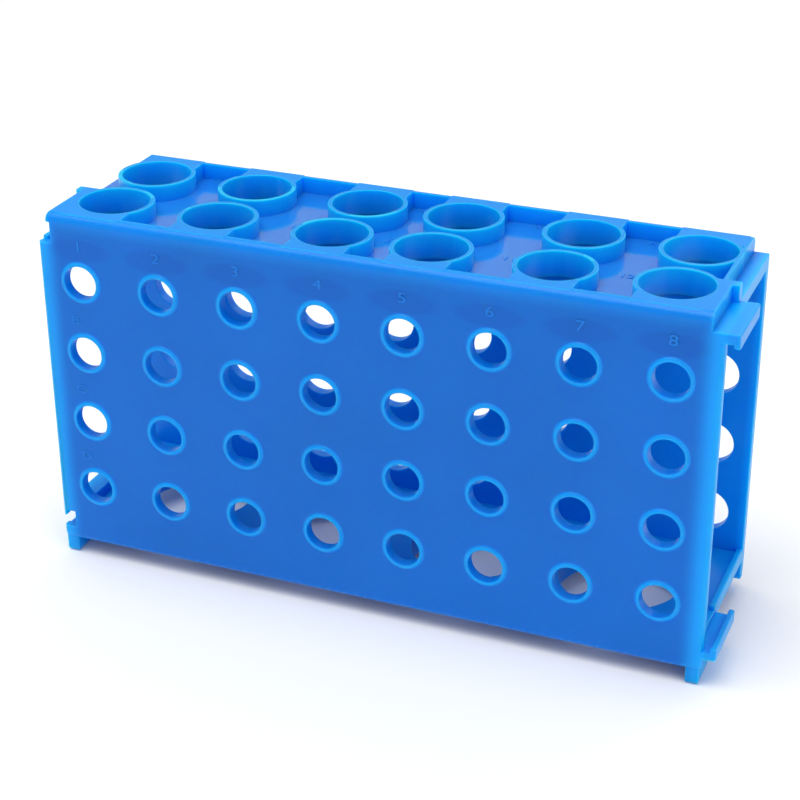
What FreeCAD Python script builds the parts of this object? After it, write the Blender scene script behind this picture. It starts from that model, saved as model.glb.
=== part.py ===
# Four-way tube rack: one hollow moulding that stands on any of its four long sides.
#
# The frame is the rack's own: the origin lies on the plane of the feet, under the middle of
# the long body, with +X to the right along the rack, +Y from the front panel to the back
# panel and +Z up. All sizes are in millimetres.

import FreeCAD, Part
import os
import Sketcher
from types import SimpleNamespace

NODE = "rack_body"

SIZES = {
    # Body: two long panels, joined by a top wall and a bottom wall that lie deeper
    "rack_length": 166.2,
    "body_depth": 47.2,
    "top_height": 92.6,
    "foot_clearance": 4.0,
    "wall": 2.5,
    "recess_depth": 4.0,
    "recess_margin": 5.6,
    "top_edge_radius": 2.2,
    "bottom_edge_radius": 1.5,
    "panel_end_radius": 1.2,
    # Grid of small holes, the same on the front and the back panel
    "column_count": 8,
    "row_count": 4,
    "column_pitch": 20.6,
    "row_pitch": 18.45,
    "grid_height": 48.3,
    "front_bore": 8.4,
    "front_collar_width": 1.15,
    "back_bore": 10.8,
    "back_collar_width": 1.2,
    "collar_height": 0.5,
    "collar_draft": 45.0,
    # Wells in the top wall, in two rows of six
    "top_bore": 17.0,
    "top_ring_width": 1.05,
    "top_row_offset": 10.45,
    "top_column_inner": 12.2,
    "top_column_middle": 41.45,
    "top_column_outer": 68.95,
    "web_width": 14.6,
    "back_land_depth": 5.6,
    # Wells in the bottom wall, in one row of four
    "bottom_bore": 30.0,
    "bottom_ring_width": 1.3,
    "bottom_column_inner": 19.0,
    "bottom_column_outer": 57.0,
    # Ends: how far each part stands back from the ends of the panels
    "front_step": 2.9,
    "right_back_step": 4.8,
    "left_back_step": 6.2,
    "flange_setback": 1.25,
    "flange_lip": 1.5,
    "flange_drop": 1.1,
    "rib_distance": 16.6,
    # Hooks on the right end, which catch in the slots on the left end of the next rack
    "link_clearance": 0.3,
    "hook_length": 18.2,
    "hook_reach": 3.15,
    "hook_lip": 1.35,
    "hook_drop": 0.8,
    "hook_tip_radius": 0.6,
    "lower_hook_drop": 0.3,
    "lower_hook_thickness": 1.6,
    "lower_hook_rise": 1.5,
    "slot_wall": 1.45,
    "slot_mouth": 4.6,
    "groove_depth": 1.3,
    "shelf_thickness": 1.4,
    "nose_reach": 1.3,
    "nose_radius": 1.1,
    "lower_slot_height": 4.4,
    "nub_width": 1.0,
    "nub_drop": 1.4,
    # Feet under the ends
    "foot_inset": 0.5,
    "foot_thickness": 3.2,
    "front_foot_length": 18.0,
    "foot_face_inset": 0.4,
    "back_foot_length": 5.1,
    "back_foot_inset": 3.8,
    "end_tab_drop": 1.2,
    "foot_radius": 1.0,
}

TOLERANCE = 0.001


class Size:
    """A number and the expression that gives it in the document."""

    def __init__(self, value, text):
        self.value = value
        self.text = text

    def __add__(self, other):
        other = as_size(other)
        return Size(self.value + other.value, f"({self.text} + {other.text})")

    def __sub__(self, other):
        other = as_size(other)
        return Size(self.value - other.value, f"({self.text} - {other.text})")

    def __mul__(self, other):
        other = as_size(other)
        return Size(self.value * other.value, f"({self.text} * {other.text})")

    def __truediv__(self, other):
        other = as_size(other)
        return Size(self.value / other.value, f"({self.text} / {other.text})")

    def __neg__(self):
        return Size(-self.value, f"(0 - {self.text})")


def as_size(number):
    return number if isinstance(number, Size) else Size(float(number), str(number))


def make_sheet(doc):
    """Put the driving sizes in a spreadsheet and return them by name."""
    sheet = doc.addObject("Spreadsheet::Sheet", "Sizes")
    named = {}
    for row, (name, value) in enumerate(SIZES.items(), start=1):
        sheet.set(f"A{row}", name)
        sheet.set(f"B{row}", str(value))
        sheet.setAlias(f"B{row}", name)
        named[name] = Size(value, f"Sizes.{name}")
    doc.recompute()
    return SimpleNamespace(**named)


def origin_item(body, role):
    return next(item for item in body.Origin.OriginFeatures if item.Role == role)


def add_sketch(body, name, role, offset):
    """Attach a new sketch to one of the body's planes, offset along the plane's normal."""
    sketch = body.newObject("Sketcher::SketchObject", name)
    sketch.AttachmentSupport = [(origin_item(body, role), "")]
    sketch.MapMode = "FlatFace"
    sketch.setExpression("AttachmentOffset.Base.z", as_size(offset).text)
    return sketch


def drive(sketch, kind, *where, size):
    """Add a dimension to a sketch and bind it to a size."""
    index = sketch.addConstraint(Sketcher.Constraint(kind, *where, size.value))
    sketch.setExpression(f"Constraints[{index}]", size.text)


def add_polygon(sketch, corners):
    """Draw a closed outline whose corners are dimensioned from the sketch's origin."""
    corners = [(as_size(across), as_size(up)) for across, up in corners]
    points = [FreeCAD.Vector(across.value, up.value, 0) for across, up in corners]
    first = sketch.GeometryCount
    count = len(points)
    for index in range(count):
        sketch.addGeometry(Part.LineSegment(points[index], points[(index + 1) % count]), False)
    for index, (across, up) in enumerate(corners):
        line = first + index
        following = first + (index + 1) % count
        sketch.addConstraint(Sketcher.Constraint("Coincident", line, 2, following, 1))
        drive(sketch, "DistanceX", -1, 1, line, 1, size=across)
        drive(sketch, "DistanceY", -1, 1, line, 1, size=up)


def add_rectangle(sketch, left, right, low, high):
    add_polygon(sketch, [(left, low), (right, low), (right, high), (left, high)])


def add_circle(sketch, across, up, diameter):
    centre = FreeCAD.Vector(across.value, up.value, 0)
    circle = Part.Circle(centre, FreeCAD.Vector(0, 0, 1), diameter.value / 2)
    index = sketch.addGeometry(circle, False)
    drive(sketch, "DistanceX", -1, 1, index, 3, size=across)
    drive(sketch, "DistanceY", -1, 1, index, 3, size=up)
    drive(sketch, "Diameter", index, size=diameter)


def extrude(body, kind, sketch, name, length, backwards):
    """Pad or pocket a sketch; a pad follows the sketch's normal unless it goes backwards."""
    feature = body.newObject(f"PartDesign::{kind}", name)
    feature.Profile = sketch
    feature.setExpression("Length", as_size(length).text)
    feature.Reversed = backwards
    sketch.Visibility = False
    body.Tip = feature
    return feature


def add_pad(body, sketch, name, length, backwards=False):
    return extrude(body, "Pad", sketch, name, length, backwards)


def add_pocket(body, sketch, name, length, backwards=False):
    """Cut a pocket against the sketch's normal, and check that it takes material away."""
    before = volume_of(body)
    feature = extrude(body, "Pocket", sketch, name, length, backwards)
    if not volume_of(body) < before - TOLERANCE:
        raise RuntimeError(f"{name} cuts nothing")
    return feature


def volume_of(body):
    body.Document.recompute()
    return body.Shape.Volume


def edges_at(shape, **place):
    """Name the edges that lie at the given coordinates all along, such as x=1.0 and z=2.0."""
    names = []
    for number, edge in enumerate(shape.Edges, start=1):
        box = edge.BoundBox
        spans = {"x": (box.XMin, box.XMax), "y": (box.YMin, box.YMax), "z": (box.ZMin, box.ZMax)}
        if all(abs(end - value.value) < TOLERANCE for axis, value in place.items()
               for end in spans[axis]):
            names.append(f"Edge{number}")
    return names


def add_fillet(body, name, radius, places):
    """Round every edge that lies at one of the places."""
    body.Document.recompute()
    base = body.Tip
    names = []
    for place in places:
        found = edges_at(base.Shape, **place)
        if not found:
            raise RuntimeError(f"{name} finds no edge")
        names += found
    fillet = body.newObject("PartDesign::Fillet", name)
    fillet.Base = (base, names)
    fillet.setExpression("Radius", radius.text)
    body.Tip = fillet
    return fillet


def front_sketch(body, sizes, name, inwards=0):
    """Start a sketch that faces the front, so far inwards from the front face."""
    return add_sketch(body, name, "XZ_Plane", sizes.body_depth / 2 - inwards)


def add_walls(body, sizes):
    """The long tube of two panels, a top wall and a bottom wall, with rounded long edges."""
    half_depth = sizes.body_depth / 2
    inner_top = sizes.top_height - sizes.recess_depth - sizes.wall
    inner_bottom = sizes.foot_clearance + sizes.recess_depth + sizes.wall
    section = add_sketch(body, "tube_section", "YZ_Plane", 0)
    add_rectangle(section, -half_depth, half_depth, sizes.foot_clearance, sizes.top_height)
    add_rectangle(section, sizes.wall - half_depth, half_depth - sizes.wall,
                  inner_bottom, inner_top)
    tube = add_pad(body, section, "tube", sizes.rack_length)
    tube.SideType = "Symmetric"
    add_fillet(body, "top_long_edges", sizes.top_edge_radius,
               [dict(y=side, z=sizes.top_height) for side in (-half_depth, half_depth)])
    add_fillet(body, "bottom_long_edges", sizes.bottom_edge_radius,
               [dict(y=side, z=sizes.foot_clearance) for side in (-half_depth, half_depth)])
    add_fillet(body, "panel_ends", sizes.panel_end_radius,
               [dict(x=sizes.rack_length / 2 * end, y=side)
                for end in (-1, 1) for side in (-half_depth, half_depth)])


def add_recesses(body, sizes):
    """The shallow trays in the top and the bottom, inside the rims of the panels."""
    half_length = sizes.rack_length / 2 - sizes.recess_margin
    half_width = sizes.body_depth / 2 - sizes.wall
    for name, height, upwards in (("top_recess", sizes.top_height, False),
                                  ("bottom_recess", sizes.foot_clearance, True)):
        sketch = add_sketch(body, f"{name}_outline", "XY_Plane", height)
        add_rectangle(sketch, -half_length, half_length, -half_width, half_width)
        add_pocket(body, sketch, name, sizes.recess_depth, backwards=upwards)


def back_wall_end(sizes, side):
    """Where the rim of the back half ends, on the right (1) or on the left (-1)."""
    step = sizes.right_back_step if side > 0 else sizes.left_back_step
    return (sizes.rack_length / 2 - step) * side


def add_end_steps(body, sizes):
    """Cut the ends back behind the front panel, and above and below the two end walls.

    At the top left the slot for the next rack shapes the front half instead.
    """
    end = sizes.rack_length / 2
    outside = end + sizes.hook_reach
    front_face = -sizes.body_depth / 2
    back_face = sizes.body_depth / 2
    rib_front = front_face + sizes.rib_distance
    rib_back = rib_front + sizes.wall

    setback = add_sketch(body, "end_setback_outline", "XY_Plane", sizes.top_height)
    top_step = add_sketch(body, "top_step_outline", "XY_Plane", sizes.top_height)
    bottom_step = add_sketch(body, "bottom_step_outline", "XY_Plane", sizes.foot_clearance)
    for side in (-1, 1):
        beyond = outside * side
        flange = (end - sizes.flange_setback) * side
        front_wall = (end - sizes.front_step) * side
        back_wall = back_wall_end(sizes, side)
        add_rectangle(setback, flange, beyond, front_face + sizes.wall, back_face + sizes.wall)
        if side > 0:
            add_rectangle(top_step, front_wall, beyond, front_face, rib_front)
        add_rectangle(top_step, back_wall, beyond, rib_back, back_face)
        add_rectangle(bottom_step, front_wall, beyond, front_face + sizes.wall, rib_front)
        add_rectangle(bottom_step, back_wall, beyond, rib_back, back_face - sizes.wall)
    add_pocket(body, setback, "end_setback", sizes.top_height)
    add_pocket(body, top_step, "top_steps", sizes.recess_depth)
    add_pocket(body, bottom_step, "bottom_steps", sizes.recess_depth, backwards=True)


def add_top_wells(body, sizes):
    """Twelve ringed wells, each joined by a web to the panel beside it, and corner lands."""
    floor = sizes.top_height - sizes.recess_depth
    panel = sizes.body_depth / 2 - sizes.wall / 2
    land_end = sizes.rack_length / 2 - sizes.recess_margin
    columns = (sizes.top_column_inner, sizes.top_column_middle, sizes.top_column_outer)
    places = [(column * side, sizes.top_row_offset * row)
              for column in columns for side in (-1, 1) for row in (-1, 1)]

    rings = add_sketch(body, "top_ring_outline", "XY_Plane", floor)
    webs = add_sketch(body, "top_web_outline", "XY_Plane", floor)
    bores = add_sketch(body, "top_bore_outline", "XY_Plane", sizes.top_height)
    for across, along in places:
        add_circle(rings, across, along, sizes.top_bore + sizes.top_ring_width * 2)
        edge = panel if along.value > 0 else -panel
        add_rectangle(webs, across - sizes.web_width / 2, across + sizes.web_width / 2,
                      along, edge)
        add_circle(bores, across, along, sizes.top_bore)

    lands = add_sketch(body, "corner_land_outline", "XY_Plane", floor)
    rib_back = sizes.rib_distance + sizes.wall - sizes.body_depth / 2
    back_land = sizes.body_depth / 2 - sizes.wall - sizes.back_land_depth
    for side in (-1, 1):
        start = sizes.top_column_outer * side
        end = land_end * side
        add_rectangle(lands, start, end, -panel, rib_back)
        back_end = end if side > 0 else back_wall_end(sizes, side)
        add_rectangle(lands, start, back_end, back_land, panel)

    add_pad(body, rings, "top_rings", sizes.recess_depth)
    add_pad(body, webs, "top_webs", sizes.recess_depth)
    add_pad(body, lands, "corner_lands", sizes.recess_depth)
    add_pocket(body, bores, "top_bores", sizes.top_height - sizes.grid_height)


def add_bottom_wells(body, sizes):
    """Four large ringed wells in the bottom wall."""
    floor = sizes.foot_clearance + sizes.recess_depth
    rings = add_sketch(body, "bottom_ring_outline", "XY_Plane", floor)
    bores = add_sketch(body, "bottom_bore_outline", "XY_Plane", sizes.foot_clearance)
    middle = as_size(0)
    for column in (sizes.bottom_column_inner, sizes.bottom_column_outer):
        for side in (-1, 1):
            across = column * side
            add_circle(rings, across, middle, sizes.bottom_bore + sizes.bottom_ring_width * 2)
            add_circle(bores, across, middle, sizes.bottom_bore)
    add_pad(body, rings, "bottom_rings", sizes.recess_depth, backwards=True)
    add_pocket(body, bores, "bottom_bores", sizes.grid_height - sizes.foot_clearance,
               backwards=True)


def add_small_holes(body, sizes, face, bore, collar_width):
    """One raised collar and its bore, repeated in columns and rows over a panel."""
    half_depth = sizes.body_depth / 2
    plane = half_depth if face == "front" else -half_depth
    away = face == "back"
    across = -sizes.column_pitch * (sizes.column_count - 1) / 2
    up = sizes.grid_height - sizes.row_pitch * (sizes.row_count - 1) / 2

    collar = add_sketch(body, f"{face}_collar_outline", "XZ_Plane", plane)
    add_circle(collar, across, up, bore + collar_width * 2)
    raised = add_pad(body, collar, f"{face}_collar", sizes.collar_height, backwards=away)
    raised.setExpression("TaperAngle", (-sizes.collar_draft).text)

    hole = add_sketch(body, f"{face}_hole_outline", "XZ_Plane", 0)
    add_circle(hole, across, up, bore)
    cut = add_pocket(body, hole, f"{face}_hole", half_depth + sizes.collar_height,
                     backwards=not away)

    grid = body.newObject("PartDesign::MultiTransform", f"{face}_grid")
    grid.Originals = [raised, cut]
    steps = []
    for role, name, count, pitch in (("X_Axis", "columns", sizes.column_count, sizes.column_pitch),
                                     ("Z_Axis", "rows", sizes.row_count, sizes.row_pitch)):
        step = body.newObject("PartDesign::LinearPattern", f"{face}_{name}")
        step.Direction = (origin_item(body, role), [""])
        step.setExpression("Length", (pitch * (count - 1)).text)
        step.setExpression("Occurrences", count.text)
        steps.append(step)
    grid.Transformations = steps
    body.Tip = grid


def add_end_lips(body, sizes):
    """Lips behind the ribs, where the top and bottom walls turn towards the opening."""
    outer = sizes.rack_length / 2 - sizes.flange_setback
    inner = outer - sizes.flange_lip
    under_top = sizes.top_height - sizes.recess_depth - sizes.wall
    over_bottom = sizes.foot_clearance + sizes.recess_depth + sizes.wall
    sketch = front_sketch(body, sizes, "end_lip_outline", sizes.rib_distance)
    for side in (-1, 1):
        add_rectangle(sketch, inner * side, outer * side, under_top - sizes.flange_drop, under_top)
        add_rectangle(sketch, inner * side, outer * side, over_bottom,
                      over_bottom + sizes.flange_drop)
    add_pad(body, sketch, "end_lips", sizes.body_depth - sizes.wall - sizes.rib_distance,
            backwards=True)


def add_feet(body, sizes):
    """Feet under both ends: a long rail at the front, and a short pad at the back beside a tab."""
    outer = sizes.rack_length / 2 - sizes.foot_inset
    inner = outer - sizes.foot_thickness
    front = sizes.foot_face_inset - sizes.body_depth / 2
    back = sizes.body_depth / 2 - sizes.foot_face_inset
    pad_outer = sizes.rack_length / 2 - sizes.back_foot_inset
    pad_inner = pad_outer - sizes.foot_thickness
    panel_end = sizes.rack_length / 2 - sizes.flange_setback
    inner_face = sizes.body_depth / 2 - sizes.wall
    sketch = add_sketch(body, "foot_outline", "XY_Plane", 0)
    tabs = add_sketch(body, "end_tab_outline", "XY_Plane", sizes.foot_clearance - sizes.end_tab_drop)
    for side in (-1, 1):
        add_rectangle(sketch, inner * side, outer * side, front, front + sizes.front_foot_length)
        add_rectangle(sketch, pad_inner * side, pad_outer * side, back - sizes.back_foot_length, back)
        add_rectangle(tabs, pad_inner * side, panel_end * side, inner_face, back)
    add_pad(body, sketch, "feet", sizes.foot_clearance + sizes.recess_depth)
    add_pad(body, tabs, "end_tabs", sizes.end_tab_drop + sizes.recess_depth)


def add_hooks(body, sizes):
    """Two hooks on the right end, one level with the top wall and one with the bottom wall."""
    end = sizes.rack_length / 2
    tip = end + sizes.hook_reach
    lip = tip - sizes.hook_lip
    root = end - sizes.front_step
    top = sizes.top_height - sizes.recess_depth
    under = top - sizes.wall
    low = sizes.foot_clearance + sizes.recess_depth - sizes.lower_hook_drop
    over = low + sizes.lower_hook_thickness
    upper = front_sketch(body, sizes, "upper_hook_outline")
    add_polygon(upper, [(root, under), (lip, under), (lip, under - sizes.hook_drop),
                        (tip, under - sizes.hook_drop), (tip, top), (root, top)])
    add_pad(body, upper, "upper_hook", sizes.hook_length, backwards=True)
    lower = front_sketch(body, sizes, "lower_hook_outline")
    add_polygon(lower, [(root, low), (tip, low), (tip, over + sizes.lower_hook_rise),
                        (lip, over + sizes.lower_hook_rise), (lip, over), (root, over)])
    add_pad(body, lower, "lower_hook", sizes.hook_length, backwards=True)


def add_slots(body, sizes):
    """Two slots on the left end, each with a catch that holds a hook of the next rack."""
    end = -sizes.rack_length / 2
    outside = end - sizes.hook_reach
    stop = end + sizes.hook_reach + sizes.link_clearance
    inside = stop + sizes.slot_wall
    groove = stop - sizes.hook_lip - sizes.link_clearance * 2
    plate_under = sizes.top_height - sizes.recess_depth - sizes.wall
    ridge = plate_under - sizes.link_clearance
    ledge = plate_under - sizes.hook_drop - sizes.link_clearance
    groove_floor = ridge - sizes.groove_depth
    shelf_under = groove_floor - sizes.shelf_thickness
    tab_top = (sizes.foot_clearance + sizes.recess_depth - sizes.lower_hook_drop
               - sizes.link_clearance)
    ceiling = tab_top + sizes.lower_slot_height
    wall_over = sizes.foot_clearance + sizes.recess_depth + sizes.wall

    blocks = front_sketch(body, sizes, "slot_block_outline", sizes.wall)
    add_rectangle(blocks, end, inside, shelf_under, plate_under)
    add_rectangle(blocks, end, inside, wall_over, ceiling + sizes.shelf_thickness)
    add_pad(body, blocks, "slot_blocks", sizes.rib_distance, backwards=True)

    upper = front_sketch(body, sizes, "upper_slot_outline")
    mouth = ridge + sizes.slot_mouth
    nose = stop - sizes.nose_reach
    add_polygon(upper, [(outside, ridge), (stop, ridge), (stop, mouth), (nose, mouth),
                        (nose, sizes.top_height), (outside, sizes.top_height)])
    add_pocket(body, upper, "upper_slot", sizes.rib_distance)
    front_ledge = front_sketch(body, sizes, "front_ledge_outline")
    add_rectangle(front_ledge, outside, stop, ledge, ridge)
    add_pocket(body, front_ledge, "front_ledge", sizes.wall)
    channel = front_sketch(body, sizes, "groove_outline", sizes.wall)
    add_rectangle(channel, groove, stop, groove_floor, ridge)
    add_pocket(body, channel, "groove", sizes.rib_distance - sizes.wall)

    lower = front_sketch(body, sizes, "lower_slot_outline")
    nub = end + sizes.nub_width
    add_polygon(lower, [(outside, tab_top), (stop, tab_top), (stop, ceiling), (nub, ceiling),
                        (nub, ceiling - sizes.nub_drop), (outside, ceiling - sizes.nub_drop)])
    add_pocket(body, lower, "lower_slot", sizes.hook_length + sizes.link_clearance)


def add_end_rounding(body, sizes):
    """Round the tips of the hooks, the lip over the slot and the bottoms of the feet."""
    end = sizes.rack_length / 2
    front_face = -sizes.body_depth / 2
    tip = end + sizes.hook_reach
    nose = -end + sizes.hook_reach + sizes.link_clearance - sizes.nose_reach
    add_fillet(body, "hook_tips", sizes.hook_tip_radius,
               [dict(x=tip, z=sizes.top_height - sizes.recess_depth), dict(x=tip, y=front_face)])
    add_fillet(body, "slot_lip", sizes.nose_radius, [dict(x=nose, z=sizes.top_height)])
    add_fillet(body, "foot_edges", sizes.foot_radius, [dict(z=as_size(0))])


def make_rack(doc, sizes):
    body = doc.addObject("PartDesign::Body", NODE)
    body.Label = NODE
    add_walls(body, sizes)
    add_recesses(body, sizes)
    add_end_steps(body, sizes)
    add_end_lips(body, sizes)
    add_feet(body, sizes)
    add_hooks(body, sizes)
    add_slots(body, sizes)
    add_end_rounding(body, sizes)
    add_top_wells(body, sizes)
    add_bottom_wells(body, sizes)
    add_small_holes(body, sizes, "front", sizes.front_bore, sizes.front_collar_width)
    add_small_holes(body, sizes, "back", sizes.back_bore, sizes.back_collar_width)
    doc.recompute()
    return body


def check_document(doc):
    """Stop if any object failed or a body has no valid shape."""
    for item in doc.Objects:
        if "Invalid" in item.State or "Error" in item.State:
            raise RuntimeError(f"{item.Name} failed: {item.State}")
    for body in doc.findObjects("PartDesign::Body"):
        if body.Shape.isNull() or not body.Shape.isValid():
            raise RuntimeError(f"{body.Name} has no valid shape")


def main():
    os.makedirs("parts", exist_ok=True)
    doc = FreeCAD.newDocument("tube_rack")
    sizes = make_sheet(doc)
    rack = make_rack(doc, sizes)
    check_document(doc)
    rack.Shape.exportStep(f"parts/{rack.Label}.step")
    box = rack.Shape.BoundBox
    print(f"{rack.Label}: {len(rack.Shape.Solids)} solid, {rack.Shape.Volume / 1000:.1f} cm3, "
          f"x {box.XMin:.2f} to {box.XMax:.2f}, y {box.YMin:.2f} to {box.YMax:.2f}, "
          f"z {box.ZMin:.2f} to {box.ZMax:.2f}")


main()
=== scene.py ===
"""The look of a four-way tube rack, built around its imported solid.

One moulding in blue polypropylene: the solid's own shape with rounded edges, the lips under its
wells, and the raised index marks. Everything is in metres, in the solid's frame.
"""

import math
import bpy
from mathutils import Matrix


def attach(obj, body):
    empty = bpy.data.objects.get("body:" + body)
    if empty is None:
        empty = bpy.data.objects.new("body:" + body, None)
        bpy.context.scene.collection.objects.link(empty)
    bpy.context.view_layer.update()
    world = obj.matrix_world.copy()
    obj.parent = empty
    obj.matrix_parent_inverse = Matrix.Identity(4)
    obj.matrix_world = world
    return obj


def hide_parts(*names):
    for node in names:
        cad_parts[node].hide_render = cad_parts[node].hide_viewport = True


bl_info = {
    "name": "Four-way tube rack",
    "version": (1, 0, 0),
    "blender": (4, 5, 0),
    "location": "View3D > Sidebar > Tube rack",
    "description": "Builds a moulded four-way tube rack and its studio",
    "category": "Object",
}

import bmesh
import bpy
from mathutils import Matrix, Vector

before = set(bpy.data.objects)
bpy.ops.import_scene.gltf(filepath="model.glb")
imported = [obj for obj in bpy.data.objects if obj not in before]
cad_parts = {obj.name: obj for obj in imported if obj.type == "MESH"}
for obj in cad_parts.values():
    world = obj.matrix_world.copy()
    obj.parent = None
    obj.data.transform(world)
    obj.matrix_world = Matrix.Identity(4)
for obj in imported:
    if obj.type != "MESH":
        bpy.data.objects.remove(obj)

MM = 0.001
BODY = "root"
SHELL_NODE = "rack_body"

# The grid of small holes, in millimetres
COLUMNS = 8
COLUMN_PITCH = 20.6
ROW_PITCH = 18.45
GRID_HEIGHT = 48.3
COLLAR_CREST = 4.85

# The wells in the top wall, in millimetres
WELL_X = (-68.95, -41.45, -12.2, 12.2, 41.45, 68.95)
WELL_Y = (10.45, -10.45)
WELL_PLACES = [(across, along) for along in WELL_Y for across in WELL_X]
WELL_BORE = 8.5
WELL_RING = 9.55

# The walls of the rack, in millimetres
PANEL_FACE = 23.6
PANEL_BACK = 21.1
RACK_END = 83.1
RECESS_END = 77.6
RIM_TOP = 92.6
RIM_ROUND = 2.2
RECESS_FLOOR = 88.6
WALL_UNDER = 86.1
FLOOR_OVER = 10.4
FOOT_TOP = 3.9
SLOT_DEPTH = 1.5
SLOT_SIDE = 22.4

# Corners of the solid that are rounded
SHARP_CORNER = math.radians(35)
SHORTEST_EDGE = 0.2 * MM
SMOOTH_ANGLE = math.radians(32)

# How far a measure on the solid may be off, in millimetres
SLACK = 0.05

# Where the photograph was taken from, in the solid's frame
CAMERA_PLACE = Vector((159.71, -390.21, 256.95)) * MM
CAMERA_AIM = Vector((-0.339, 0.8286, -0.4455))
CAMERA_RIGHT = Vector((0.927, 0.376, -0.005))
CAMERA_LENS = 87.62


class RackLooks(bpy.types.PropertyGroup):
    """What can be changed about the moulding."""

    edge_radius: bpy.props.FloatProperty(
        name="Edge radius", description="Rounding of the moulded edges", unit="LENGTH",
        default=0.30 * MM, min=0.0, max=1.0 * MM)
    plastic_colour: bpy.props.StringProperty(
        name="Plastic", description="Colour of the polypropylene in the panels", default="#0073D2")
    # Painted shade: the darker oval behind each number, where parts behind the panel hold back light
    oval_shade_colour: bpy.props.StringProperty(
        name="Deep plastic", description="Colour of the ovals behind the numbers", default="#0060C4")
    # Painted glow: a lighter colour where light shines through rims, walls and edges
    painted_glow_colour: bpy.props.StringProperty(
        name="Thin plastic", description="Colour of rims and edges that light shines through",
        default="#08B0FF")
    # Partly painted sheen: the polished floor is painted paler than the panels for the sheen it catches;
    # its gloss is real
    polished_sheen_colour: bpy.props.StringProperty(
        name="Polished plastic", description="Colour of the polished floor between the wells",
        default="#1F82D8")
    # Painted highlight: the marks are painted a little lighter than the panels for the light they catch
    mark_colour: bpy.props.StringProperty(
        name="Marks", description="Colour of the raised numbers and letters", default="#1C82E6")
    lip_depth: bpy.props.FloatProperty(
        name="Lip depth", description="Height of the lips under the wells", unit="LENGTH",
        default=3.0 * MM)
    mark_height: bpy.props.FloatProperty(
        name="Mark height", description="How far numbers and letters stand out", unit="LENGTH",
        default=0.12 * MM)
    panel_mark_size: bpy.props.FloatProperty(
        name="Panel mark size", description="Letter size on the front panel", unit="LENGTH",
        default=3.6 * MM)
    floor_mark_size: bpy.props.FloatProperty(
        name="Floor mark size", description="Letter size beside the wells", unit="LENGTH",
        default=2.9 * MM)


class StageLooks(bpy.types.PropertyGroup):
    """What can be changed about the studio."""

    floor_colour: bpy.props.StringProperty(
        name="Floor", description="Colour of the floor", default="#FFFFFF")
    key_power: bpy.props.FloatProperty(
        name="Key light", description="Power of the large lamp above", default=9.8)


def linear(hex_colour):
    """Turn an sRGB hex colour into the linear values that a shader takes."""
    values = [int(hex_colour[place:place + 2], 16) / 255 for place in (1, 3, 5)]
    return [v / 12.92 if v <= 0.04045 else ((v + 0.055) / 1.055) ** 2.4 for v in values] + [1.0]


def add_node(tree, kind, inputs=None, **properties):
    """Add a node, set its properties, and link or set its input sockets."""
    node = tree.nodes.new(kind)
    for name, value in properties.items():
        setattr(node, name, value)
    for socket, value in (inputs or {}).items():
        if isinstance(value, bpy.types.NodeSocket):
            tree.links.new(value, node.inputs[socket])
        else:
            node.inputs[socket].default_value = value
    return node


def new_material(name):
    """An empty node material, with its tree."""
    material = bpy.data.materials.new(name)
    material.use_nodes = True
    tree = material.node_tree
    tree.nodes.clear()
    return material, tree


def from_middle(tree, value, pitch):
    """How far a place is from the middle of its step in a repeating pattern."""
    step = add_node(tree, "ShaderNodeMath", {0: value, 1: pitch, 2: 0.0}, operation="WRAP")
    return add_node(tree, "ShaderNodeMath", {0: step.outputs[0], 1: pitch / 2},
                    operation="SUBTRACT").outputs[0]


def collar_glow(tree, axes):
    """A soft ring of painted glow along the crest of each collar in the grid."""
    height = add_node(tree, "ShaderNodeMath", {0: axes.outputs["Z"], 1: GRID_HEIGHT * MM},
                      operation="SUBTRACT")
    offset = add_node(tree, "ShaderNodeCombineXYZ", {
        0: from_middle(tree, axes.outputs["X"], COLUMN_PITCH * MM),
        1: from_middle(tree, height.outputs[0], ROW_PITCH * MM)})
    distance = add_node(tree, "ShaderNodeVectorMath", {0: offset.outputs[0]}, operation="LENGTH")
    beside = add_node(tree, "ShaderNodeMath", {
        0: distance.outputs["Value"], 1: COLLAR_CREST * MM}, operation="SUBTRACT")
    from_crest = add_node(tree, "ShaderNodeMath", {0: beside.outputs[0]}, operation="ABSOLUTE")
    collar = add_node(tree, "ShaderNodeMapRange", {
        "Value": from_crest.outputs[0], "From Min": 0.9 * MM, "From Max": 0.25 * MM, "To Max": 0.55},
        interpolation_type="SMOOTHSTEP")
    away = add_node(tree, "ShaderNodeMath", {0: height.outputs[0]}, operation="ABSOLUTE")
    in_grid = add_node(tree, "ShaderNodeMath", {0: away.outputs[0], 1: ROW_PITCH * 2 * MM},
                       operation="LESS_THAN")
    return add_node(tree, "ShaderNodeMath", {0: collar.outputs[0], 1: in_grid.outputs[0]},
                    operation="MULTIPLY").outputs[0]


def end_glow(tree, axes):
    """Painted glow towards the ends of the panels, and a little less on the hooks."""
    side = add_node(tree, "ShaderNodeMath", {0: axes.outputs["X"]}, operation="ABSOLUTE")
    end = add_node(tree, "ShaderNodeMapRange", {
        "Value": side.outputs[0], "From Min": (RACK_END - 6.5) * MM,
        "From Max": (RACK_END - 0.3) * MM, "To Max": 0.8}, interpolation_type="SMOOTHERSTEP")
    on_hooks = add_node(tree, "ShaderNodeMapRange", {
        "Value": side.outputs[0], "From Min": RACK_END * MM, "From Max": (RACK_END + 1.0) * MM,
        "To Min": 1.0, "To Max": 0.7}, interpolation_type="SMOOTHSTEP")
    return add_node(tree, "ShaderNodeMath", {0: end.outputs[0], 1: on_hooks.outputs[0]},
                    operation="MULTIPLY").outputs[0]


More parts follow.
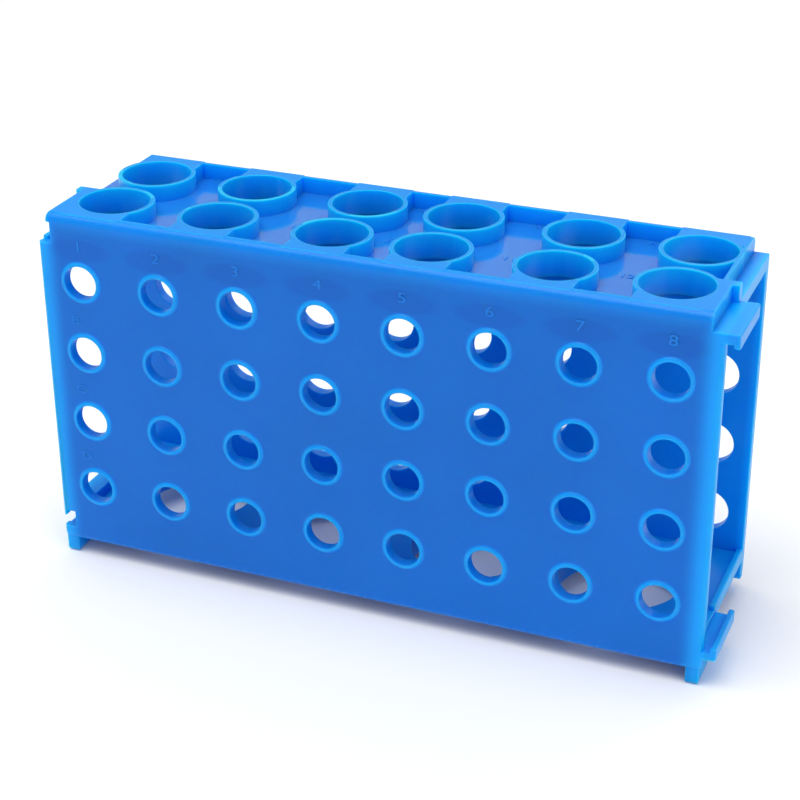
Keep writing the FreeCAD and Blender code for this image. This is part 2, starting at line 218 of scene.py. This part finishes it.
def wall_glow(tree, axes):
    """Painted glow on the faces marked for it, strongest at the top of the wells and fading deeper down.
    """
    walls = add_node(tree, "ShaderNodeAttribute", attribute_name="painted_glow")
    depth = add_node(tree, "ShaderNodeMapRange", {
        "Value": axes.outputs["Z"], "From Min": (RECESS_FLOOR - 1.5) * MM, "From Max": RIM_TOP * MM,
        "To Min": 0.4}, interpolation_type="SMOOTHSTEP")
    return add_node(tree, "ShaderNodeMath", {0: walls.outputs["Fac"], 1: depth.outputs[0]},
                    operation="MULTIPLY").outputs[0]


def light_through(tree, place):
    """Where glow is painted into the plastic: at the top edge, the collars, the ends and the walls that
    light shines through.
    """
    axes = add_node(tree, "ShaderNodeSeparateXYZ", {0: place})
    # Painted glow in a band just under the top edge
    strongest = add_node(tree, "ShaderNodeMapRange", {
        "Value": axes.outputs["Z"], "From Min": (RIM_TOP - 5.0) * MM,
        "From Max": (RIM_TOP - 1.5) * MM, "To Max": 0.28}, interpolation_type="SMOOTHSTEP")
    for glow in (collar_glow, end_glow, wall_glow):
        strongest = add_node(tree, "ShaderNodeMath", {0: strongest.outputs[0], 1: glow(tree, axes)},
                             operation="MAXIMUM")
    return strongest.outputs[0]


def painted_shade_oval(tree, place):
    """Painted shade on the front panel: a darker oval behind each number, where parts behind the
    translucent panel hold back light.
    """
    axes = add_node(tree, "ShaderNodeSeparateXYZ", {0: place})
    up = add_node(tree, "ShaderNodeMath", {
        0: axes.outputs["Z"], 1: (GRID_HEIGHT + 35.9) * MM}, operation="SUBTRACT")
    tall = add_node(tree, "ShaderNodeMath", {0: up.outputs[0], 1: 2.9}, operation="MULTIPLY")
    offset = add_node(tree, "ShaderNodeCombineXYZ", {
        0: from_middle(tree, axes.outputs["X"], COLUMN_PITCH * MM), 1: tall.outputs[0]})
    distance = add_node(tree, "ShaderNodeVectorMath", {0: offset.outputs[0]}, operation="LENGTH")
    oval = add_node(tree, "ShaderNodeMapRange", {
        "Value": distance.outputs["Value"], "From Min": 9.6 * MM, "From Max": 6.5 * MM, "To Max": 0.45},
        interpolation_type="SMOOTHSTEP")
    in_front = add_node(tree, "ShaderNodeMath", {0: axes.outputs["Y"], 1: 0.0}, operation="LESS_THAN")
    return add_node(tree, "ShaderNodeMath", {0: oval.outputs[0], 1: in_front.outputs[0]},
                    operation="MULTIPLY").outputs[0]


def moulded_polypropylene(looks):
    """Satin polypropylene: deep azure with painted glow where light shines through, painted shade ovals
    behind the numbers, and glossy where the mould is polished, with a paler painted sheen there.
    """
    material, tree = new_material("moulded_polypropylene")
    place = add_node(tree, "ShaderNodeTexCoord").outputs["Object"]
    cloud = add_node(tree, "ShaderNodeTexNoise", {"Vector": place, "Scale": 1 / (38 * MM), "Detail": 2.0})
    grain = add_node(tree, "ShaderNodeTexNoise", {"Vector": place, "Scale": 1 / (0.9 * MM), "Detail": 3.0})
    painted_glow = light_through(tree, place)
    polished = add_node(tree, "ShaderNodeAttribute", attribute_name="polished").outputs["Fac"]
    # Painted shade ovals, then painted glow, then the polished floor's paler painted sheen
    panel = add_node(tree, "ShaderNodeMix", {
        "Factor": painted_shade_oval(tree, place), 6: linear(looks.plastic_colour),
        7: linear(looks.oval_shade_colour)}, data_type="RGBA")
    plain = add_node(tree, "ShaderNodeMix", {
        "Factor": painted_glow, 6: panel.outputs[2], 7: linear(looks.painted_glow_colour)}, data_type="RGBA")
    floored = add_node(tree, "ShaderNodeMix", {
        "Factor": polished, 6: plain.outputs[2], 7: linear(looks.polished_sheen_colour)}, data_type="RGBA")
    shade = add_node(tree, "ShaderNodeMapRange", {
        "Value": cloud.outputs["Fac"], "From Min": 0.3, "From Max": 0.7, "To Min": 0.95, "To Max": 1.04})
    colour = add_node(tree, "ShaderNodeVectorMath", {0: floored.outputs[2], "Scale": shade.outputs[0]},
                      operation="SCALE")
    rough = add_node(tree, "ShaderNodeMapRange", {"Value": polished, "To Min": 0.36, "To Max": 0.1})
    sheen = add_node(tree, "ShaderNodeMapRange", {"Value": polished, "To Min": 0.2, "To Max": 1.0})
    bump = add_node(tree, "ShaderNodeBump", {
        "Height": grain.outputs["Fac"], "Strength": 0.06, "Distance": 0.05 * MM})
    shader = add_node(tree, "ShaderNodeBsdfPrincipled", {
        "Base Color": colour.outputs[0], "Roughness": rough.outputs[0], "IOR": 1.49,
        "Specular IOR Level": sheen.outputs[0], "Coat Weight": 0.06, "Coat Roughness": 0.14,
        "Subsurface Weight": 1.0, "Subsurface Radius": (0.1, 0.7, 1.0),
        "Subsurface Scale": 3.5 * MM, "Normal": bump.outputs["Normal"]})
    add_node(tree, "ShaderNodeOutputMaterial", {"Surface": shader.outputs["BSDF"]})
    return material


def raised_polypropylene(looks):
    """The same plastic on the raised marks, painted a little lighter for the light they catch."""
    material, tree = new_material("raised_polypropylene")
    shader = add_node(tree, "ShaderNodeBsdfPrincipled", {
        "Base Color": linear(looks.mark_colour), "Roughness": 0.4, "IOR": 1.49,
        "Specular IOR Level": 0.2})
    add_node(tree, "ShaderNodeOutputMaterial", {"Surface": shader.outputs["BSDF"]})
    return material


def deselect_all():
    """Leave nothing selected."""
    bpy.ops.object.select_all(action="DESELECT")


def pick(piece):
    """Select one piece alone and make it the active one."""
    deselect_all()
    piece.select_set(True)
    bpy.context.view_layer.objects.active = piece


def outer_edges(mesh, tight):
    """Outer corners that a mould leaves slightly round; the tight ones have little room.

    The ends of the round top edges stay as they are, because nothing can round them cleanly.
    """
    for edge in mesh.edges:
        if len(edge.link_faces) < 2 or edge.calc_length() < SHORTEST_EDGE:
            continue
        if edge.calc_face_angle_signed(0) < SHARP_CORNER:
            continue
        corners = [vertex.co / MM for vertex in edge.verts]
        lowest = min(corner.z for corner in corners)
        on_rim = lowest > RIM_TOP - SLACK
        if not on_rim and lowest > RIM_TOP - RIM_ROUND - SLACK:
            continue
        furthest = max(corner.x for corner in corners)
        by_slots = furthest < SLOT_DEPTH - RACK_END and corners[0].y < -SLOT_SIDE
        if (on_rim or by_slots) == tight:
            yield edge


def round_outer_edges(piece, radius):
    """Round the outer corners, half as much where rings and webs meet and beside the slots."""
    for tight in (False, True):
        mesh = bmesh.from_edit_mesh(piece.data)
        for edge in mesh.edges:
            edge.select_set(False)
        for edge in outer_edges(mesh, tight):
            edge.select_set(True)
        bmesh.update_edit_mesh(piece.data)
        bpy.ops.transform.edge_bevelweight(value=0.5 if tight else 1.0)
    bpy.ops.object.mode_set(mode="OBJECT")
    bevel = piece.modifiers.new("rounded_edges", "BEVEL")
    bevel.width = radius
    bevel.segments = 3
    bevel.limit_method = "WEIGHT"
    bevel.use_clamp_overlap = False
    bevel.loop_slide = False
    bpy.ops.object.modifier_apply(modifier=bevel.name)


def mark_regions(piece):
    """Write down, face by face, where glow is painted on walls that light shines through and where the
    mould is polished.

    A face counts as part of a bore or ring by its corner that is furthest from the well.
    """
    painted_glow = piece.data.attributes.new("painted_glow", "FLOAT", "FACE")
    polished = piece.data.attributes.new("polished", "FLOAT", "FACE")
    places = [vertex.co / MM for vertex in piece.data.vertices]
    from_wells = [
        min(math.hypot(place.x - across, place.y - along) for across, along in WELL_PLACES)
        for place in places]
    for face in piece.data.polygons:
        x, y, z = face.center / MM
        from_well = max(from_wells[corner] for corner in face.vertices)
        above = z > RECESS_FLOOR + SLACK
        between = abs(x) < RACK_END - 0.5 and abs(y) < PANEL_BACK + 0.1
        inside = between and FLOOR_OVER < z < WALL_UNDER
        bore = z > WALL_UNDER and from_well < WELL_BORE + 0.02
        ring = above and from_well < WELL_RING + 0.1
        # Painted glow on bores, rings, the inside and the foot, where light shines through
        if inside or bore or ring or z < FOOT_TOP:
            painted_glow.data[face.index].value = 1.0
        # Painted glow on the other raised faces, stronger on upright faces than on flat ones
        elif above and abs(y) < PANEL_FACE - 0.3:
            painted_glow.data[face.index].value = 0.9 if abs(face.normal.z) < 0.5 else 0.35
        level = face.normal.z > 0.99 and abs(z - RECESS_FLOOR) < SLACK
        polished.data[face.index].value = 1.0 if level and abs(x) < RECESS_END else 0.0


def raised_mark(text, size, height, place, turn):
    """One number or letter as a solid that stands a little out of a face."""
    deselect_all()
    bpy.ops.object.text_add(location=place, rotation=turn)
    mark = bpy.context.object
    mark.data.body = text
    mark.data.size = size
    mark.data.extrude = height
    mark.data.resolution_u = 3
    mark.scale.x = 1.3
    mark.data.align_x = "CENTER"
    mark.data.align_y = "CENTER"
    bpy.ops.object.convert(target="MESH")
    bpy.ops.object.transform_apply(location=True, rotation=True, scale=True)
    return bpy.context.object


def join_pieces(pieces, name):
    """Make several meshes one piece with a name of its own."""
    deselect_all()
    for piece in pieces:
        piece.select_set(True)
    bpy.context.view_layer.objects.active = pieces[0]
    bpy.ops.object.join()
    piece = bpy.context.object
    piece.name = name
    return piece


def finish_piece(piece, material):
    """Give a piece its material and fix it to the rack."""
    piece.data.materials.clear()
    piece.data.materials.append(material)
    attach(piece, BODY)


class TUBERACK_OT_shell(bpy.types.Operator):
    """Rounded copy of the rack's solid"""

    bl_idname = "tube_rack.shell"
    bl_label = "Moulded shell"

    def execute(self, context):
        looks = context.scene.rack_looks
        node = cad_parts[SHELL_NODE]
        shell = bpy.data.objects.new("rack_shell", node.data.copy())
        context.scene.collection.objects.link(shell)
        pick(shell)
        bpy.ops.object.mode_set(mode="EDIT")
        bpy.ops.mesh.select_all(action="SELECT")
        bpy.ops.mesh.remove_doubles(threshold=0.002 * MM)
        bpy.ops.mesh.dissolve_limited(angle_limit=math.radians(0.5))
        bpy.ops.mesh.select_mode(type="EDGE")
        round_outer_edges(shell, looks.edge_radius)
        bpy.ops.mesh.customdata_custom_splitnormals_clear()
        bpy.ops.object.shade_smooth_by_angle(angle=SMOOTH_ANGLE)
        evened = shell.modifiers.new("even_normals", "WEIGHTED_NORMAL")
        evened.keep_sharp = True
        bpy.ops.object.modifier_apply(modifier=evened.name)
        mark_regions(shell)
        finish_piece(shell, moulded_polypropylene(looks))
        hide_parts(SHELL_NODE)
        return {"FINISHED"}


class TUBERACK_OT_well_lips(bpy.types.Operator):
    """Short lips that carry the wells on below the top wall"""

    bl_idname = "tube_rack.well_lips"
    bl_label = "Lips under the wells"

    def execute(self, context):
        looks = context.scene.rack_looks
        deselect_all()
        bpy.ops.mesh.primitive_cylinder_add(
            vertices=64, radius=WELL_RING * MM, depth=looks.lip_depth, end_fill_type="NOTHING")
        first = context.object
        # A hair wider than the bore, so that no two faces coincide
        wall = first.modifiers.new("wall", "SOLIDIFY")
        wall.thickness = (WELL_RING - WELL_BORE - 0.03) * MM
        wall.offset = -1.0
        bpy.ops.object.modifier_apply(modifier=wall.name)
        round_off = first.modifiers.new("rounded_edges", "BEVEL")
        round_off.width = looks.edge_radius
        round_off.segments = 2
        round_off.limit_method = "ANGLE"
        bpy.ops.object.modifier_apply(modifier=round_off.name)
        bpy.ops.object.shade_smooth_by_angle(angle=SMOOTH_ANGLE)
        first.location = Vector((WELL_X[0], WELL_Y[0], WALL_UNDER)) * MM
        lips = [first]
        for across, along in WELL_PLACES[1:]:
            lip = first.copy()
            lip.data = first.data.copy()
            lip.location = Vector((across, along, WALL_UNDER)) * MM
            context.scene.collection.objects.link(lip)
            lips.append(lip)
        piece = join_pieces(lips, "well_lips")
        bpy.ops.object.transform_apply(location=True, rotation=True, scale=True)
        finish_piece(piece, bpy.data.materials["moulded_polypropylene"])
        return {"FINISHED"}


class TUBERACK_OT_panel_marks(bpy.types.Operator):
    """Numbers over the columns of small holes and letters beside their rows"""

    bl_idname = "tube_rack.panel_marks"
    bl_label = "Marks on the front"

    def execute(self, context):
        looks = context.scene.rack_looks
        upright = (math.pi / 2, 0, 0)
        marks = []
        for column in range(COLUMNS):
            across = (column - (COLUMNS - 1) / 2) * COLUMN_PITCH
            place = Vector((across, -PANEL_FACE, GRID_HEIGHT + 36.8)) * MM
            number = str(column + 1)
            marks.append(raised_mark(number, looks.panel_mark_size, looks.mark_height, place, upright))
        letter_size = looks.panel_mark_size * 0.85
        for row, letter in enumerate("BCD"):
            height = GRID_HEIGHT + ROW_PITCH * (0.5 - row) + 8.4
            place = Vector((-74.4, -PANEL_FACE, height)) * MM
            marks.append(raised_mark(letter, letter_size, looks.mark_height, place, upright))
        finish_piece(join_pieces(marks, "panel_marks"), raised_polypropylene(looks))
        return {"FINISHED"}


class TUBERACK_OT_floor_marks(bpy.types.Operator):
    """Numbers beside the wells, on the floor of the recess"""

    bl_idname = "tube_rack.floor_marks"
    bl_label = "Marks beside the wells"

    def execute(self, context):
        looks = context.scene.rack_looks
        flat = (0, 0, 0)
        marks = []
        for row, along in enumerate(WELL_Y):
            for column, across in enumerate(WELL_X[1:], start=2):
                place = Vector((across - 13.6, along + 9.1 - row * 0.2, RECESS_FLOOR)) * MM
                number = str(column + row * len(WELL_X))
                marks.append(raised_mark(number, looks.floor_mark_size, looks.mark_height, place, flat))
        finish_piece(join_pieces(marks, "floor_marks"), bpy.data.materials["raised_polypropylene"])
        return {"FINISHED"}


class TUBERACK_OT_stage(bpy.types.Operator):
    """Floor, soft lamps, world and camera"""

    bl_idname = "tube_rack.stage"
    bl_label = "Studio"

    def execute(self, context):
        stage = context.scene.stage_looks
        deselect_all()
        bpy.ops.mesh.primitive_plane_add(size=8.0, location=(0, 0, 0))
        floor = context.object
        floor.name = "studio_floor"
        material, tree = new_material("studio_paper")
        shader = add_node(tree, "ShaderNodeBsdfPrincipled", {
            "Base Color": linear(stage.floor_colour), "Roughness": 0.9})
        add_node(tree, "ShaderNodeOutputMaterial", {"Surface": shader.outputs["BSDF"]})
        floor.data.materials.append(material)

        world = bpy.data.worlds.new("studio_world")
        context.scene.world = world
        world.use_nodes = True
        tree = world.node_tree
        background = tree.nodes["Background"]
        background.inputs["Color"].default_value = (1, 1, 1, 1)
        background.inputs["Strength"].default_value = 0.5

        lamps = (
            ("key", Vector((-0.2, -0.25, 1.2)), 0.9, stage.key_power),
            ("fill", Vector((0.9, -0.6, 0.5)), 0.8, stage.key_power * 0.2),
            ("rim", Vector((0.2, 0.9, 0.9)), 0.8, stage.key_power * 0.3),
        )
        for name, place, size, power in lamps:
            lamp = bpy.data.lights.new(name, "AREA")
            lamp.energy = power
            lamp.size = size
            holder = bpy.data.objects.new(name, lamp)
            holder.location = place
            holder.rotation_mode = "QUATERNION"
            holder.rotation_quaternion = (-place).to_track_quat("-Z", "Y")
            context.scene.collection.objects.link(holder)

        data = bpy.data.cameras.new("photo_camera")
        data.lens = CAMERA_LENS
        data.sensor_width = 36.0
        data.clip_start = 0.01
        data.clip_end = 20.0
        camera = bpy.data.objects.new("photo_camera", data)
        back = -CAMERA_AIM.normalized()
        right = (CAMERA_RIGHT - CAMERA_RIGHT.dot(back) * back).normalized()
        up = back.cross(right)
        turn = Matrix((right, up, back)).transposed().to_4x4()
        camera.matrix_world = Matrix.Translation(CAMERA_PLACE) @ turn
        context.scene.collection.objects.link(camera)
        context.scene.camera = camera
        context.scene.view_settings.view_transform = "Standard"
        return {"FINISHED"}


class TUBERACK_PT_panel(bpy.types.Panel):
    """Steps of the tube rack"""

    bl_label = "Tube rack"
    bl_idname = "TUBERACK_PT_panel"
    bl_space_type = "VIEW_3D"
    bl_region_type = "UI"
    bl_category = "Tube rack"

    def draw(self, context):
        for operator in OPERATORS:
            self.layout.operator(operator.bl_idname)


OPERATORS = (TUBERACK_OT_shell, TUBERACK_OT_well_lips, TUBERACK_OT_panel_marks,
             TUBERACK_OT_floor_marks, TUBERACK_OT_stage)
CLASSES = (RackLooks, StageLooks, *OPERATORS, TUBERACK_PT_panel)


def register():
    for item in CLASSES:
        bpy.utils.register_class(item)
    bpy.types.Scene.rack_looks = bpy.props.PointerProperty(type=RackLooks)
    bpy.types.Scene.stage_looks = bpy.props.PointerProperty(type=StageLooks)


def unregister():
    del bpy.types.Scene.stage_looks
    del bpy.types.Scene.rack_looks
    for item in reversed(CLASSES):
        bpy.utils.unregister_class(item)


def main():
    register()
    for operator in OPERATORS:
        group, name = operator.bl_idname.split(".")
        getattr(getattr(bpy.ops, group), name)()


if __name__ == "__main__":
    main()
